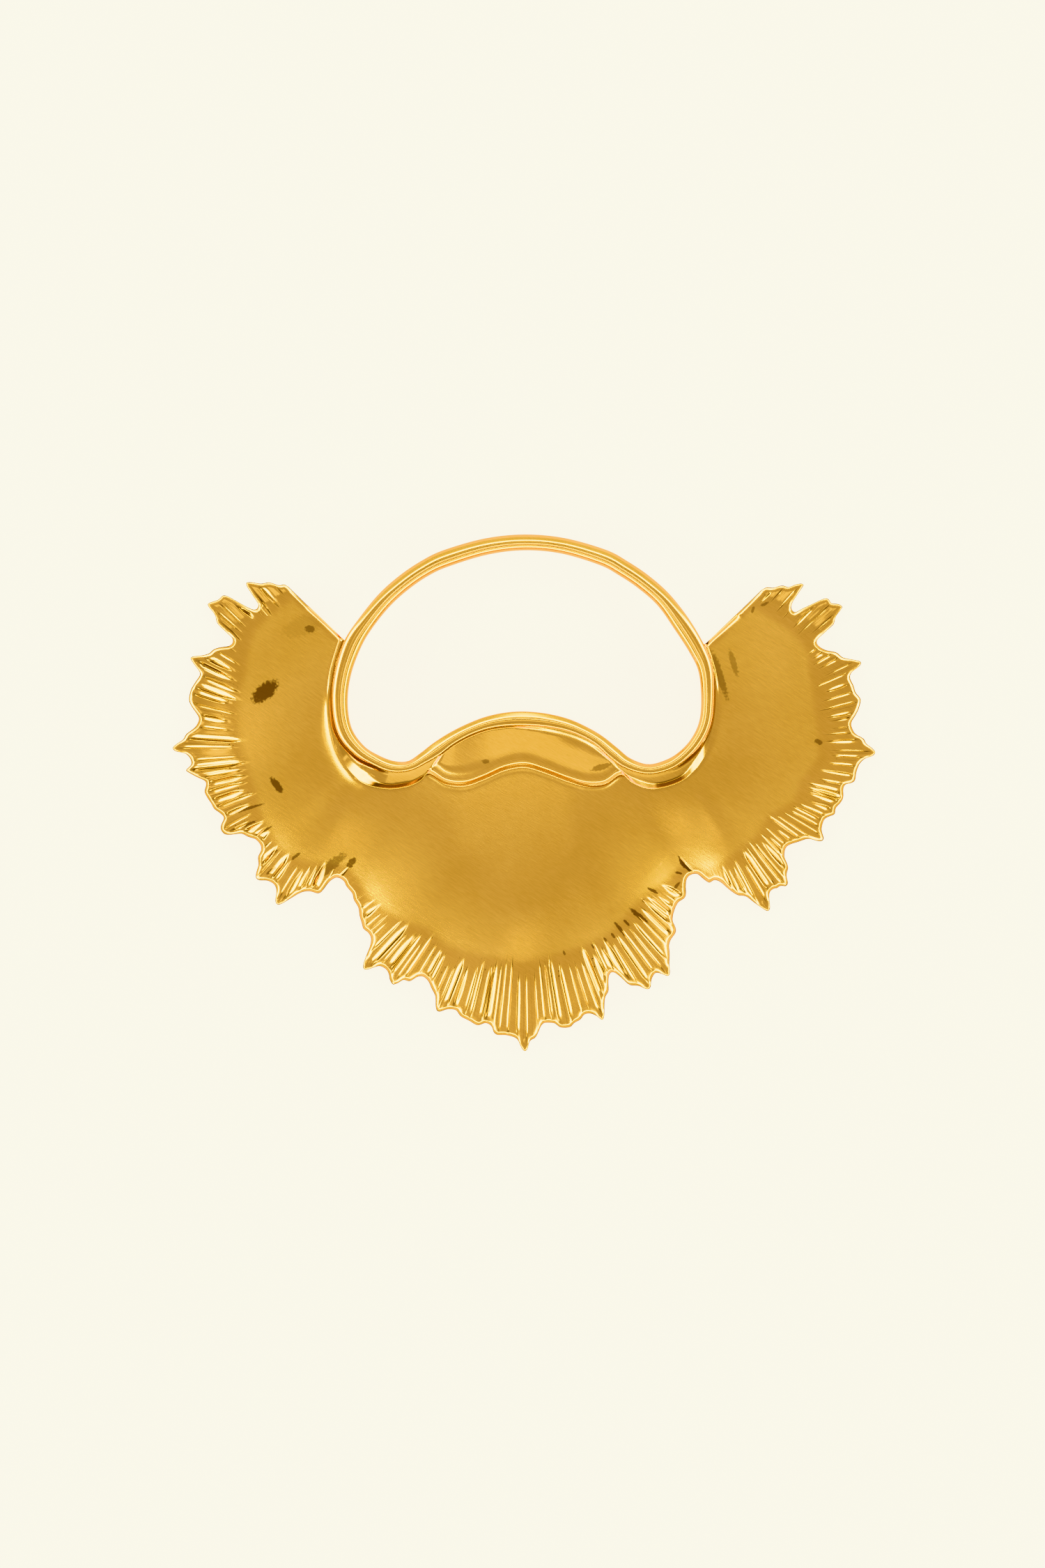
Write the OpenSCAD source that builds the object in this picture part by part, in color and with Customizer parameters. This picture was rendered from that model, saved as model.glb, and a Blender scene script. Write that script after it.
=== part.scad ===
// Sun brooch: a one-piece brass casting, a bean-shaped frame on a plate of three rayed fans,
// with a brooch pin in the hollow of its back. It lies face up, +Y is the top when it is worn.

/* [Plate] */
// Thickness of the cast plate
plate_t = 1.6; // [1.3:0.1:2.2]
// Height of the hollow behind the middle of the plate
hollow_h = 6.5; // [6.2:0.1:8]
// Distance over which the plate curves down to its rim
rim_run = 24; // [18:0.5:28]
// Thickness of the rounded rim
rim_t = 1.2; // [0.9:0.1:1.5]
// Distance of the side fans' middles from the centre line
fan_x = 23.5; // [22:0.5:25]
// Height of the side fans' middles above the origin
fan_y = 7; // [5:0.5:9]

/* [Flutes] */
// Width of one flute at the rim of the left fan
left_flute_w = 1.7; // [1.2:0.05:2.2]
// Width of one flute at the rim of the middle fan
middle_flute_w = 1.6; // [1.2:0.05:2.2]
// Width of one flute at the rim of the right fan
right_flute_w = 1.25; // [1.1:0.05:2.2]
// Height from a flute's groove to its crest
flute_d = 0.5; // [0.3:0.05:0.8]
// Sharpness of the points along the rim
point_power = 1.4; // [1.2:0.1:2.5]

/* [Frame] */
// Height of the frame's crest above the hollow
frame_h = 3.1; // [2.6:0.1:3.6]
// Height of the collars and of the leaf's lower ridge above the plate
ridge_h = 0.9; // [0.5:0.1:1.2]
// Distance from the ridge to the crease below it
ridge_w = 1; // [0.6:0.1:1.4]
// Depth of the crease round the collars and the leaf
crease_d = 0.3; // [0.1:0.05:0.5]

/* [Pin] */
// Distance from the hinge post to the catch
pin_span = 38; // [30:1:40]
// Thickness of the pin stem
stem_d = 1; // [0.8:0.1:1.2]
// Height of the stem's middle above the table
stem_z = 0.9; // [0.8:0.05:1.1]
// Distance of the pin from the origin towards the top
pin_y = -4; // [-6:0.5:-3]
// Gap between the pin's solder pads and the plate
pad_gap = 0.3; // [0.2:0.05:0.5]

/* [Hidden] */
$fn = 32;

// Rays of the left fan, from its shoulder down to the middle fan:
// [tip x, tip y, x and y of the notch after it, length of the flutes]
left_rays = [
    [-37.3, 32.7, -41.8, 32.8, 5],
    [-43.3, 33.0, -42.2, 28.8, 5],
    [-46.9, 31.0, -47.6, 30.2, 7],
    [-49.4, 29.4, -45.5, 23.9, 8.5],
    [-52.0, 21.3, -50.7, 18.7, 9],
    [-52.3, 15.3, -50.8, 11.8, 9],
    [-55.0, 7.0, -52.2, 4.7, 10.5],
    [-52.8, 3.5, -50.0, 1.9, 9],
    [-49.9, 0.1, -47.0, -3.7, 8],
    [-47.3, -6.2, -44.6, -6.5, 8.5],
    [-41.8, -7.3, -41.2, -8.7, 7],
    [-42.0, -13.3, -38.7, -15.0, 9.5],
    [-38.6, -17.3, -34.3, -15.6, 10],
    [-32.2, -15.8, -29.2, -13.3, 6.5],
];
// Rays of the middle fan, from left to right, with the same columns
middle_rays = [
    [-28.4, -13.5, -26.8, -16.1, 3],
    [-25.6, -20.0, -23.6, -23.1, 4.5],
    [-25.0, -27.4, -21.9, -27.5, 10],
    [-20.3, -30.0, -15.8, -28.6, 10],
    [-13.4, -34.2, -10.9, -34.0, 12],
    [-7.2, -36.3, -5.9, -35.8, 12.5],
    [-4.1, -37.8, -1.8, -38.1, 13],
    [0.1, -40.4, 3.0, -36.0, 15],
    [6.6, -36.7, 10.3, -34.7, 12],
    [12.2, -35.4, 13.8, -28.2, 12.5],
    [16.4, -29.9, 18.0, -30.0, 10.5],
    [19.3, -30.8, 20.9, -28.1, 11.5],
    [22.7, -28.5, 22.8, -23.6, 12],
    [23.8, -21.2, 23.3, -20.0, 8],
    [25.3, -16.2, 26.4, -12.3, 5],
];
// Rays of the right fan, from the middle fan up to its shoulder, with the same columns
right_rays = [
    [29.0, -14.2, 29.9, -13.6, 6.5],
    [33.6, -16.2, 34.8, -16.4, 9],
    [38.2, -18.5, 38.8, -15.0, 12],
    [41.1, -14.6, 40.9, -8.8, 11],
    [46.8, -7.3, 46.7, -4.6, 10],
    [48.4, -3.6, 48.6, -2.5, 9],
    [49.8, -1.2, 50.1, 1.3, 9],
    [51.8, 1.9, 51.9, 3.6, 9],
    [55.0, 6.3, 51.2, 10.8, 10.5],
    [52.6, 14.6, 51.1, 17.8, 9],
    [52.7, 20.5, 45.6, 23.7, 9.5],
    [48.6, 26.4, 48.8, 27.2, 8],
    [49.7, 29.3, 48.1, 29.8, 8.5],
    [47.6, 30.6, 42.2, 28.4, 7],
    [43.8, 32.5, 41.6, 32.1, 5],
];
// Corner of the right fan's shoulder
right_shoulder = [37.4, 31.9];

// The frame where it sits on the plate, from the left junction round below to the right one:
// [x and y of its inner edge, its width, x and y of the crease between its collar or leaf and the plate]
seat_rows = [
    [-25.4, 22.6, 2.8, -28.5, 24.3],
    [-26.9, 18.4, 2.6, -30.1, 18.8],
    [-27.4, 14.2, 2.5, -30.5, 14.0],
    [-26.8, 10.2, 2.4, -29.8, 9.4],
    [-24.9, 7.4, 2.1, -28.2, 5.0],
    [-22.6, 5.9, 1.9, -25.4, 1.9],
    [-20.2, 5.0, 1.8, -21.6, 0.8],
    [-18.0, 5.0, 1.6, -18.2, 1.1],
    [-16.0, 6.3, 1.9, -16.0, 2.1],
    [-14.2, 7.7, 2.2, -14.8, 3.2],
    [-11.9, 9.2, 2.0, -12.2, 1.7],
    [-9.2, 10.6, 1.9, -9.2, 1.4],
    [-6.2, 11.8, 2.0, -6.2, 2.4],
    [-3.1, 12.5, 2.2, -3.0, 3.8],
    [0, 12.7, 2.3, 0.2, 4.3],
    [3.4, 12.4, 2.2, 3.4, 3.4],
    [6.8, 11.6, 2.0, 6.9, 2.1],
    [9.6, 10.4, 1.8, 9.9, 1.3],
    [12.2, 8.9, 1.8, 12.7, 1.5],
    [14.6, 7.0, 2.0, 15.2, 3.0],
    [16.6, 5.4, 1.8, 17.0, 1.7],
    [19.3, 4.5, 1.6, 19.8, 0.8],
    [21.9, 5.1, 1.7, 23.2, 1.4],
    [24.0, 6.3, 1.7, 26.0, 3.0],
    [26.0, 8.4, 1.8, 28.3, 6.0],
    [27.3, 11.2, 1.9, 29.7, 10.2],
    [27.6, 14.8, 2.0, 30.2, 14.4],
    [27.2, 18.9, 2.3, 29.8, 18.7],
    [25.8, 21.9, 2.6, 28.4, 23.3],
];
// The free arch of the frame, from the right junction over the top to the left one:
// [x and y of its inner edge, its width]
arch_rows = [
    [23.5, 25.5, 2.8],
    [20.9, 29.2, 2.6],
    [17.9, 31.9, 2.6],
    [14.8, 34.0, 2.6],
    [11.8, 35.6, 2.6],
    [5.8, 37.4, 2.5],
    [0, 37.9, 2.5],
    [-5.7, 37.2, 2.6],
    [-11.6, 35.4, 2.7],
    [-14.7, 34.0, 2.6],
    [-17.8, 31.9, 2.6],
    [-20.8, 29.2, 2.6],
    [-23.6, 25.7, 2.6],
];
// Section of the frame from its inner bottom edge over the top to its outer edge:
// [part of the width, part of the height]
frame_section = [
    [0.10, 0],
    [0, 0.30],
    [0.04, 0.62],
    [0.17, 0.74],
    [0.27, 0.70],
    [0.42, 1.00],
    [0.60, 0.97],
    [0.84, 0.78],
    [1, 0.48],
];

// Half width, upper reach and middle of the smooth hollow behind the brooch
hollow_x = 62;
hollow_y = 46.5;
hollow_mid_y = -6;
// Roundness of the hollow, lower is fuller
hollow_power = 0.75;
// Reach of the hollow past the mean of tips and notches
foot_margin = 1;
// Half the turn over which the plate averages its tips and notches, in degrees
mean_turn = 12;
// Rim stations over which the flutes swing from one fan's middle to the next
swing = 14;
// Width over which the fans' domes blend
blend_w = 1.5;
// Inset of the rim's rounding
rim_round = 0.3;
// Seat rows under which the side fans meet the middle fan
left_meet = 5;
right_meet = 23;
// Rim stations for each station of the smooth field
field_every = 4;
// Stations between two rows of the arch
arch_steps = 3;

function clamp(v) = max(0, min(1, v));
function smooth(v) = let (c = clamp(v)) c * c * (3 - 2 * c);
function mix(a, b, t) = a + (b - a) * t;
function unit(v) = v / norm(v);

// Each fan: [x of its middle, y of its middle, bearing it faces, width of one flute]
fans = [
    [-fan_x, fan_y, 180, left_flute_w],
    [0, -1, 270, middle_flute_w],
    [fan_x, fan_y, 360, right_flute_w],
];
function middle(f) = [fans[f][0], fans[f][1]];

// Angle of a point round a fan's middle, unwrapped about the fan's bearing
function angle_in(f, p) =
    let (a = atan2(p[1] - fans[f][1], p[0] - fans[f][0]) - fans[f][2])
    fans[f][2] + a - 360 * round(a / 360);

// Knots of a table of rays, tip and notch in turn: [x, y, length of the flutes]
function ray_knots(rays) = [for (r = rays) each [[r[0], r[1], r[4]], [r[2], r[3], r[4]]]];

// A knot seen from its fan's middle: [angle, reach, length of the flutes]
function polar_knots(f, knots) =
    [for (k = knots) [angle_in(f, k), norm([k[0], k[1]] - middle(f)), k[2]]];

left_knots = ray_knots(left_rays);
left_notch = left_knots[len(left_knots) - 1];
middle_knots = concat([left_notch], ray_knots(middle_rays));
right_notch = middle_knots[len(middle_knots) - 1];
right_end = concat(right_shoulder, [right_rays[len(right_rays) - 1][4]]);
right_knots = concat([right_notch], ray_knots(right_rays), [right_end]);
knots = [polar_knots(0, left_knots), polar_knots(1, middle_knots), polar_knots(2, right_knots)];
// Whether a fan's knots begin with a tip
tip_first = [true, false, false];

// Odd number of half flutes between two knots, so that tips are crests and notches grooves
function half_flutes(f, a, b) =
    2 * floor(abs(b[0] - a[0]) * PI / 180 * (a[1] + b[1]) / 2 / fans[f][3]) + 1;

// Rim stations between two knots: [fan, angle, reach, distance from the rim to the flute heads]
function rim_run_of(f, a, b, from_tip) =
    let (n = half_flutes(f, a, b))
    [for (i = [0 : n - 1])
        let (
            t = i / n,
            tip = from_tip ? a : b,
            notch = from_tip ? b : a,
            near_tip = from_tip ? 1 - t : t,
            reach = mix(notch[1], tip[1], pow(near_tip, point_power)),
            head = mix(a[1] - a[2], b[1] - b[2], t) + (from_tip ? t : 1 - t) * (tip[1] - notch[1])
        )
        [f, mix(a[0], b[0], t), reach, max(2, reach - head)]];

function fan_rim(f) =
    [for (j = [0 : len(knots[f]) - 2])
        each rim_run_of(f, knots[f][j], knots[f][j + 1], (j % 2 == 0) == tip_first[f])];

last_knot = knots[2][len(knots[2]) - 1];
rim = concat(fan_rim(0), fan_rim(1), fan_rim(2), [[2, last_knot[0], last_knot[1], last_knot[2]]]);
rim_last = len(rim) - 1;
left_meet_at = len(fan_rim(0));
right_meet_at = left_meet_at + len(fan_rim(1));

function rim_point(i) =
    middle(rim[i][0]) + rim[i][2] * [cos(rim[i][1]), sin(rim[i][1])];

// Mean reach of a fan's tips and notches near an angle, weighted by a bell curve
function mean_reach(f, a) =
    let (
        w = [for (k = knots[f]) exp(-pow((k[0] - a) / mean_turn, 2))],
        ones = [for (k = knots[f]) 1]
    )
    (w * [for (k = knots[f]) k[1]]) / (w * ones);

// Point that the flutes of a station run towards
left_join = [seat_rows[0][3], seat_rows[0][4]];
right_join = let (r = seat_rows[len(seat_rows) - 1]) [r[3], r[4]];
function aim(i) =
    let (
        from_left = mix(left_join, middle(0), smooth(i / swing)),
        to_middle = mix(from_left, middle(1), smooth((i - left_meet_at) / swing + 0.5)),
        to_right = mix(to_middle, middle(2), smooth((i - right_meet_at) / swing + 0.5))
    )
    mix(to_right, right_join, smooth(1 - (rim_last - i) / swing));

// Point at a distance inwards from the rim, along a station's flute
function inwards(i, e) = let (b = rim_point(i)) b + e * unit(aim(i) - b);

// Height of the smooth hollow, without its fall to the rim
function hollow_z(p) =
    let (left = 1 - pow(p[0] / hollow_x, 2) - pow((p[1] - hollow_mid_y) / hollow_y, 2))
    hollow_h * pow(max(0, left), hollow_power);

// Distance inwards from the rounded foot of the three fans, whose joints it softens
function foot_distance(p) =
    blend_w * ln(
        exp(foot_in(0, p) / blend_w) + exp(foot_in(1, p) / blend_w) + exp(foot_in(2, p) / blend_w));
function foot_in(f, p) = mean_reach(f, angle_in(f, p)) + foot_margin - norm(p - middle(f));

// Height of the hollow with its fall to the rim
function under_z(p) = hollow_z(p) * (1 - pow(1 - clamp(foot_distance(p) / rim_run), 2));

// Point on a smooth curve through four rows, and its direction
function curve_at(a, b, c, d, t) =
    0.5 * (2 * b + (c - a) * t + (2 * a - 5 * b + 4 * c - d) * t * t + (3 * b - a - 3 * c + d) * t * t * t);
function curve_way(a, b, c, d, t) =
    0.5 * ((c - a) + 2 * (2 * a - 5 * b + 4 * c - d) * t + 3 * (3 * b - a - 3 * c + d) * t * t);

frame_rows = concat([for (r = seat_rows) [r[0], r[1], r[2]]], arch_rows);
function frame_row(k) = frame_rows[(k + len(frame_rows)) % len(frame_rows)];
function frame_at(q) =
    let (k = floor(q)) curve_at(frame_row(k - 1), frame_row(k), frame_row(k + 1), frame_row(k + 2), q - k);
function frame_way(q) =
    let (k = floor(q)) curve_way(frame_row(k - 1), frame_row(k), frame_row(k + 1), frame_row(k + 2), q - k);
// Point across the frame, at a part of its width from the inner edge
function across(q, part) =
    let (c = frame_at(q), w = frame_way(q))
    [c[0], c[1]] + c[2] * part * unit([w[1], -w[0]]);

seat_last = len(seat_rows) - 1;
function seat_row(k) = let (r = seat_rows[max(0, min(seat_last, k))]) [r[3], r[4]];
function crease_at(q) =
    let (k = min(seat_last - 1, floor(q)))
    curve_at(seat_row(k - 1), seat_row(k), seat_row(k + 1), seat_row(k + 2), q - k);

// Stations of the field: each has a place on the rim and one on the seat of the frame
field_last = ceil(rim_last / field_every);
function rim_of(s) = round(s * rim_last / field_last);
function seat_of(s) =
    let (i = rim_of(s))
    i <= left_meet_at ? left_meet * i / left_meet_at
    : i <= right_meet_at
    ? mix(left_meet, right_meet, (i - left_meet_at) / (right_meet_at - left_meet_at))
    : mix(right_meet, seat_last, (i - right_meet_at) / (rim_last - right_meet_at));

// Stations round the whole frame: first those of the field, then those of the arch
arch_last = (len(arch_rows) + 1) * arch_steps;
frame_places = concat(
    [for (s = [0 : field_last]) seat_of(s)],
    [for (s = [1 : arch_last - 1]) seat_last + s / arch_steps]);
frame_count = len(frame_places);

function frame_foot(q) = hollow_z(across(q, 1));
function section_row(part, height) =
    [for (q = frame_places) let (p = across(q, part)) [p[0], p[1], frame_foot(q) + height * frame_h]];

// Row of the collar and leaf at a distance from the crease, as part of the band or in millimetres
function band_row(part, set_back, rise) =
    [for (s = [0 : field_last])
        let (
            q = seat_of(s),
            a = across(q, 1),
            b = crease_at(q),
            width = norm(b - a),
            p = mix(a, b, max(0.3, part - min(0.5, set_back / width)))
        )
        [p[0], p[1], hollow_z(p) + plate_t + rise * min(1, width / 2)]];

function head_at(s) = inwards(rim_of(s), rim[rim_of(s)][3]);
// Row of the smooth field, at a part of the way from the crease to the flute heads
function field_row(part, lift) =
    [for (s = [0 : field_last])
        let (p = mix(crease_at(seat_of(s)), head_at(s), part))
        [p[0], p[1], under_z(p) + lift]];

// Row of the rim stations, at a part of the flutes' length plus an inset, with crests and grooves
function flute_row(part, inset, lift, relief) =
    [for (i = [0 : rim_last])
        let (p = inwards(i, part * rim[i][3] + inset), ridge = (i % 2 == 0) ? 0.5 : -0.5)
        [p[0], p[1], under_z(p) + lift + relief * ridge * flute_d]];

frame_loops = concat([for (r = frame_section) section_row(r[0], r[1])], [section_row(0.95, 0)]);
loop_count = len(frame_loops);
band_rows = [band_row(0.5, 0, ridge_h * 0.6), band_row(1, ridge_w, ridge_h), band_row(1, 0, -crease_d)];
// Parts of the way from the crease to the flute heads at which the field has its rows
field_parts = [0.3, 0.55, 0.8, 1];
top_rows = [for (part = concat([0.04], field_parts)) field_row(part, plate_t)];
fine_rows = [
    flute_row(0.85, 0, plate_t, 0.4),
    flute_row(0.5, 0, plate_t, 1),
    flute_row(0.15, rim_round, mix(plate_t, rim_t, 0.6), 1),
    flute_row(0, rim_round, rim_t, 0.3),
    flute_row(0, 0, rim_t * 0.4, 0),
    flute_row(0, rim_round, 0, 0),
    flute_row(0.15, rim_round, 0, 0),
];
under_rows = [for (j = [len(field_parts) - 1 : -1 : -1]) field_row(j < 0 ? 0 : field_parts[j], 0)];

// All points of the casting, and the number of the first point of each group of rows
casting_points = [for (row = concat(frame_loops, band_rows, top_rows, fine_rows, under_rows)) each row];
band_start = loop_count * frame_count;
coarse_count = field_last + 1;
fine_start = band_start + (len(band_rows) + len(top_rows)) * coarse_count;
fine_count = rim_last + 1;
under_start = fine_start + len(fine_rows) * fine_count;

// Numbers of the points of a row: a frame loop, its part on the plate, its arch, or an open row
function loop_ids(j) = [for (k = [0 : frame_count]) j * frame_count + k % frame_count];
function seat_ids(j) = [for (k = [0 : field_last]) j * frame_count + k];
function arch_ids(j) = [for (k = [field_last : frame_count]) j * frame_count + k % frame_count];
function row_ids(start, j, count) = [for (k = [0 : count - 1]) start + j * count + k];

outer_edge = loop_count - 2;
outer_foot = loop_count - 1;
top_ids = concat(
    [seat_ids(outer_edge)],
    [for (j = [0 : len(band_rows) + len(top_rows) - 1]) row_ids(band_start, j, coarse_count)]);
fine_ids = [for (j = [0 : len(fine_rows) - 1]) row_ids(fine_start, j, fine_count)];
under_ids = concat(
    [for (j = [0 : len(under_rows) - 1]) row_ids(under_start, j, coarse_count)],
    [seat_ids(outer_foot)]);

// Triangles between a row and another that has as many points or more
function stitch(a, b) =
    [for (i = [0 : len(a) - 2])
        let (
            scale_up = (len(b) - 1) / (len(a) - 1),
            from = round(i * scale_up),
            to = round((i + 1) * scale_up),
            mid = floor((from + to) / 2)
        )
        each concat(
            [for (j = [from : 1 : mid - 1]) [a[i], b[j], b[j + 1]]],
            [[a[i], b[mid], a[i + 1]]],
            [for (j = [mid : 1 : to - 1]) [a[i + 1], b[j], b[j + 1]]])];
function turned(faces) = [for (f = faces) [f[2], f[1], f[0]]];
function stack(rows) = [for (j = [0 : len(rows) - 2]) each stitch(rows[j], rows[j + 1])];

// The walls along the two straight shoulders, between the ends of the top and the underside rows
function ends(rows, k) = [for (r = rows) r[k < 0 ? len(r) - 1 : k]];
top_fine = [for (j = [0 : 4]) fine_ids[j]];
foot_fine = [fine_ids[6], fine_ids[5]];
function shoulder_wall(k) =
    let (
        top = concat(ends(top_ids, k), ends(top_fine, k)),
        foot = concat(ends([for (j = [len(under_ids) - 1 : -1 : 0]) under_ids[j]], k), ends(foot_fine, k))
    )
    stitch(foot, top);

casting_faces = concat(
    turned(concat(
        [for (j = [0 : loop_count - 3]) each stitch(loop_ids(j), loop_ids(j + 1))],
        stitch(loop_ids(outer_foot), loop_ids(0)),
        stitch(arch_ids(outer_edge), arch_ids(outer_foot)),
        stack(top_ids),
        stitch(top_ids[len(top_ids) - 1], fine_ids[0]),
        stack(fine_ids),
        stack(under_ids),
        shoulder_wall(-1))),
    stitch(under_ids[0], fine_ids[len(fine_ids) - 1]),
    shoulder_wall(0));

// The whole casting: plate, flutes, frame, collars and leaf panel are one piece of metal
module sun_casting() {
    color([0.83, 0.62, 0.2])
        polyhedron(points = casting_points, faces = casting_faces);
}

post_w = 2.4;
pad_l = 6;
pad_w = 5;
pad_t = 0.7;
knuckle_d = 1.6;
hook_l = 2.4;
hook_d = 1.7;
slot_w = 0.7;
tip_l = 2.5;

// Highest place for a pad under the hollow of the plate
function pad_top(x) =
    let (corners = [for (dx = [-1, 1], dy = [-1, 1]) under_z([x + dx * pad_l / 2, pin_y + dy * pad_w / 2])])
    min(corners) - pad_gap;

// A post with its solder pad, from the stem up to the plate
module post(x) {
    top = pad_top(x);
    translate([x - pad_l / 2, pin_y - pad_w / 2, top - pad_t])
        cube([pad_l, pad_w, pad_t]);
    translate([x - post_w / 2, pin_y - post_w / 2, stem_z])
        cube([post_w, post_w, top - stem_z]);
}

// The brooch pin: a hinge post, the stem and the catch with its hook, as one plain piece
module pin_finding() {
    color([0.86, 0.68, 0.3]) {
        difference() {
            union() {
                post(-pin_span / 2);
                post(pin_span / 2);
                translate([-pin_span / 2, pin_y + post_w / 2, stem_z])
                    rotate([90, 0, 0])
                        cylinder(h = post_w, d = knuckle_d);
                translate([pin_span / 2 - hook_l / 2, pin_y, stem_z])
                    rotate([0, 90, 0])
                        cylinder(h = hook_l, d = hook_d);
            }
            translate([pin_span / 2 - hook_l, pin_y - hook_d, stem_z - slot_w / 2])
                cube([2 * hook_l, hook_d, slot_w]);
        }
        translate([-pin_span / 2, pin_y, stem_z])
            rotate([0, 90, 0])
                cylinder(h = pin_span, d = stem_d);
        translate([pin_span / 2, pin_y, stem_z])
            rotate([0, 90, 0])
                cylinder(h = tip_l, d1 = stem_d, d2 = stem_d / 4);
    }
}

sun_casting();
pin_finding();
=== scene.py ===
# Sun brooch: a cast and gilded brass sun with its pin, lying face up on a pale table.
import math
import bpy
import numpy as np
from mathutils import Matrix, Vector


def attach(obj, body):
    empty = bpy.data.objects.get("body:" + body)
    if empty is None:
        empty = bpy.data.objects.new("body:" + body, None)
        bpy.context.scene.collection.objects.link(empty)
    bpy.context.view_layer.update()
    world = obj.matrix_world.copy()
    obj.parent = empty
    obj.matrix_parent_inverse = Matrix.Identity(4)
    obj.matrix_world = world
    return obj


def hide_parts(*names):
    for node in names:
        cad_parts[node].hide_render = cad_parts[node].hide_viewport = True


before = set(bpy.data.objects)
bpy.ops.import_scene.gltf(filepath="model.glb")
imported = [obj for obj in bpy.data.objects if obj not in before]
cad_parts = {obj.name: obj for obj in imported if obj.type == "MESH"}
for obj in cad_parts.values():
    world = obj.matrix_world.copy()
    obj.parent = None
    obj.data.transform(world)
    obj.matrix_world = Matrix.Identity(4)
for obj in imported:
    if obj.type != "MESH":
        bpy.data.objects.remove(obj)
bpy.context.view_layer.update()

# The camera. It looks straight down on the brooch from arm's length, with the picture's long side
# along the brooch's height. The brooch lies a little above the middle of the picture.
view_distance = 1.2
view_height = 0.2453
view_middle = (-0.0002, 0.0014)
sensor = 36.0

camera_data = bpy.data.cameras.new("camera")
camera_data.sensor_fit = "VERTICAL"
camera_data.sensor_width = sensor
camera_data.sensor_height = sensor
camera_data.lens = sensor * view_distance / view_height
camera_data.clip_start = 0.01
camera = bpy.data.objects.new("camera", camera_data)
camera.location = (view_middle[0], view_middle[1], view_distance)
bpy.context.scene.collection.objects.link(camera)
bpy.context.scene.camera = camera

# The casting. One piece of brass: three fluted fans with pointed rims, the bean-shaped frame, the
# collars at its lower sides and the leaf panel under it. It was cast from a carved wax, its field
# was brushed, its flutes, frame and edges were polished, and then it was gilded.
# All lengths of this section are in millimetres until the mesh is made.

# Each fan: [x of its middle, y of its middle, bearing it faces in degrees, mean reach, width of one flute,
# slope of its grooves' walls, half width of its widest groove as a part of the flute]
fans = np.array([
    [-23.5, 7.0, 180.0, 28.0, 1.5, 0.54, 0.5],
    [0.0, -1.0, 270.0, 35.0, 1.4, 0.50, 0.38],
    [23.5, 7.0, 360.0, 27.0, 1.2, 0.60, 0.38],
])
# The rim of the left fan as a line of [x, y], from its shoulder down to the middle fan
left_rim = [
    [-36.8, 32.25], [-37.5, 32.65], [-38.3, 32.5], [-39.8, 32.95], [-41.15, 32.75], [-42.6, 33.0],
    [-43.4, 32.95], [-43.5, 32.65], [-43.0, 31.7], [-42.0, 30.5], [-41.5, 29.7], [-41.65, 28.95],
    [-42.3, 28.7], [-43.45, 29.2], [-45.2, 30.2], [-46.3, 30.8], [-47.05, 30.95], [-47.8, 30.25],
    [-49.2, 29.75], [-49.5, 29.3], [-48.9, 28.6], [-48.3, 27.8], [-48.1, 26.8], [-47.6, 26.05],
    [-46.6, 25.2], [-45.7, 24.4], [-45.5, 23.65], [-46.05, 23.05], [-47.8, 22.75], [-48.7, 22.35],
    [-49.3, 21.8], [-50.6, 21.5], [-51.9, 21.35], [-52.15, 20.9], [-51.4, 19.85], [-50.65, 18.65],
    [-51.4, 17.35], [-52.05, 16.25], [-52.35, 15.15], [-52.35, 14.3], [-51.85, 13.3], [-51.2, 12.4],
    [-50.8, 11.55], [-51.3, 10.45], [-52.05, 9.8], [-52.9, 9.15], [-53.25, 8.4], [-54.25, 7.75],
    [-54.95, 7.05], [-54.5, 6.45], [-53.05, 6.2], [-52.25, 5.45], [-52.0, 4.45], [-52.6, 3.9],
    [-52.9, 3.5], [-52.05, 2.95], [-50.95, 2.35], [-49.85, 1.85], [-49.7, 1.2], [-49.95, 0.2],
    [-49.4, -0.95], [-48.9, -1.65], [-48.45, -2.5], [-47.5, -3.2], [-46.9, -3.9], [-47.3, -4.8],
    [-47.45, -5.55], [-47.0, -6.35], [-46.1, -6.6], [-44.2, -6.4], [-43.1, -6.9], [-41.9, -7.3],
    [-41.1, -8.3], [-41.15, -9.15], [-41.6, -10.0], [-41.5, -11.3], [-41.9, -12.4], [-41.9, -13.3],
    [-41.35, -13.7], [-40.05, -13.75], [-39.0, -14.4], [-38.7, -15.4], [-38.9, -16.8], [-38.5, -17.55],
    [-37.65, -17.25], [-36.15, -16.35], [-34.8, -15.6], [-33.5, -15.4], [-32.1, -15.75], [-31.3, -15.15],
    [-30.3, -13.85],
]
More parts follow.
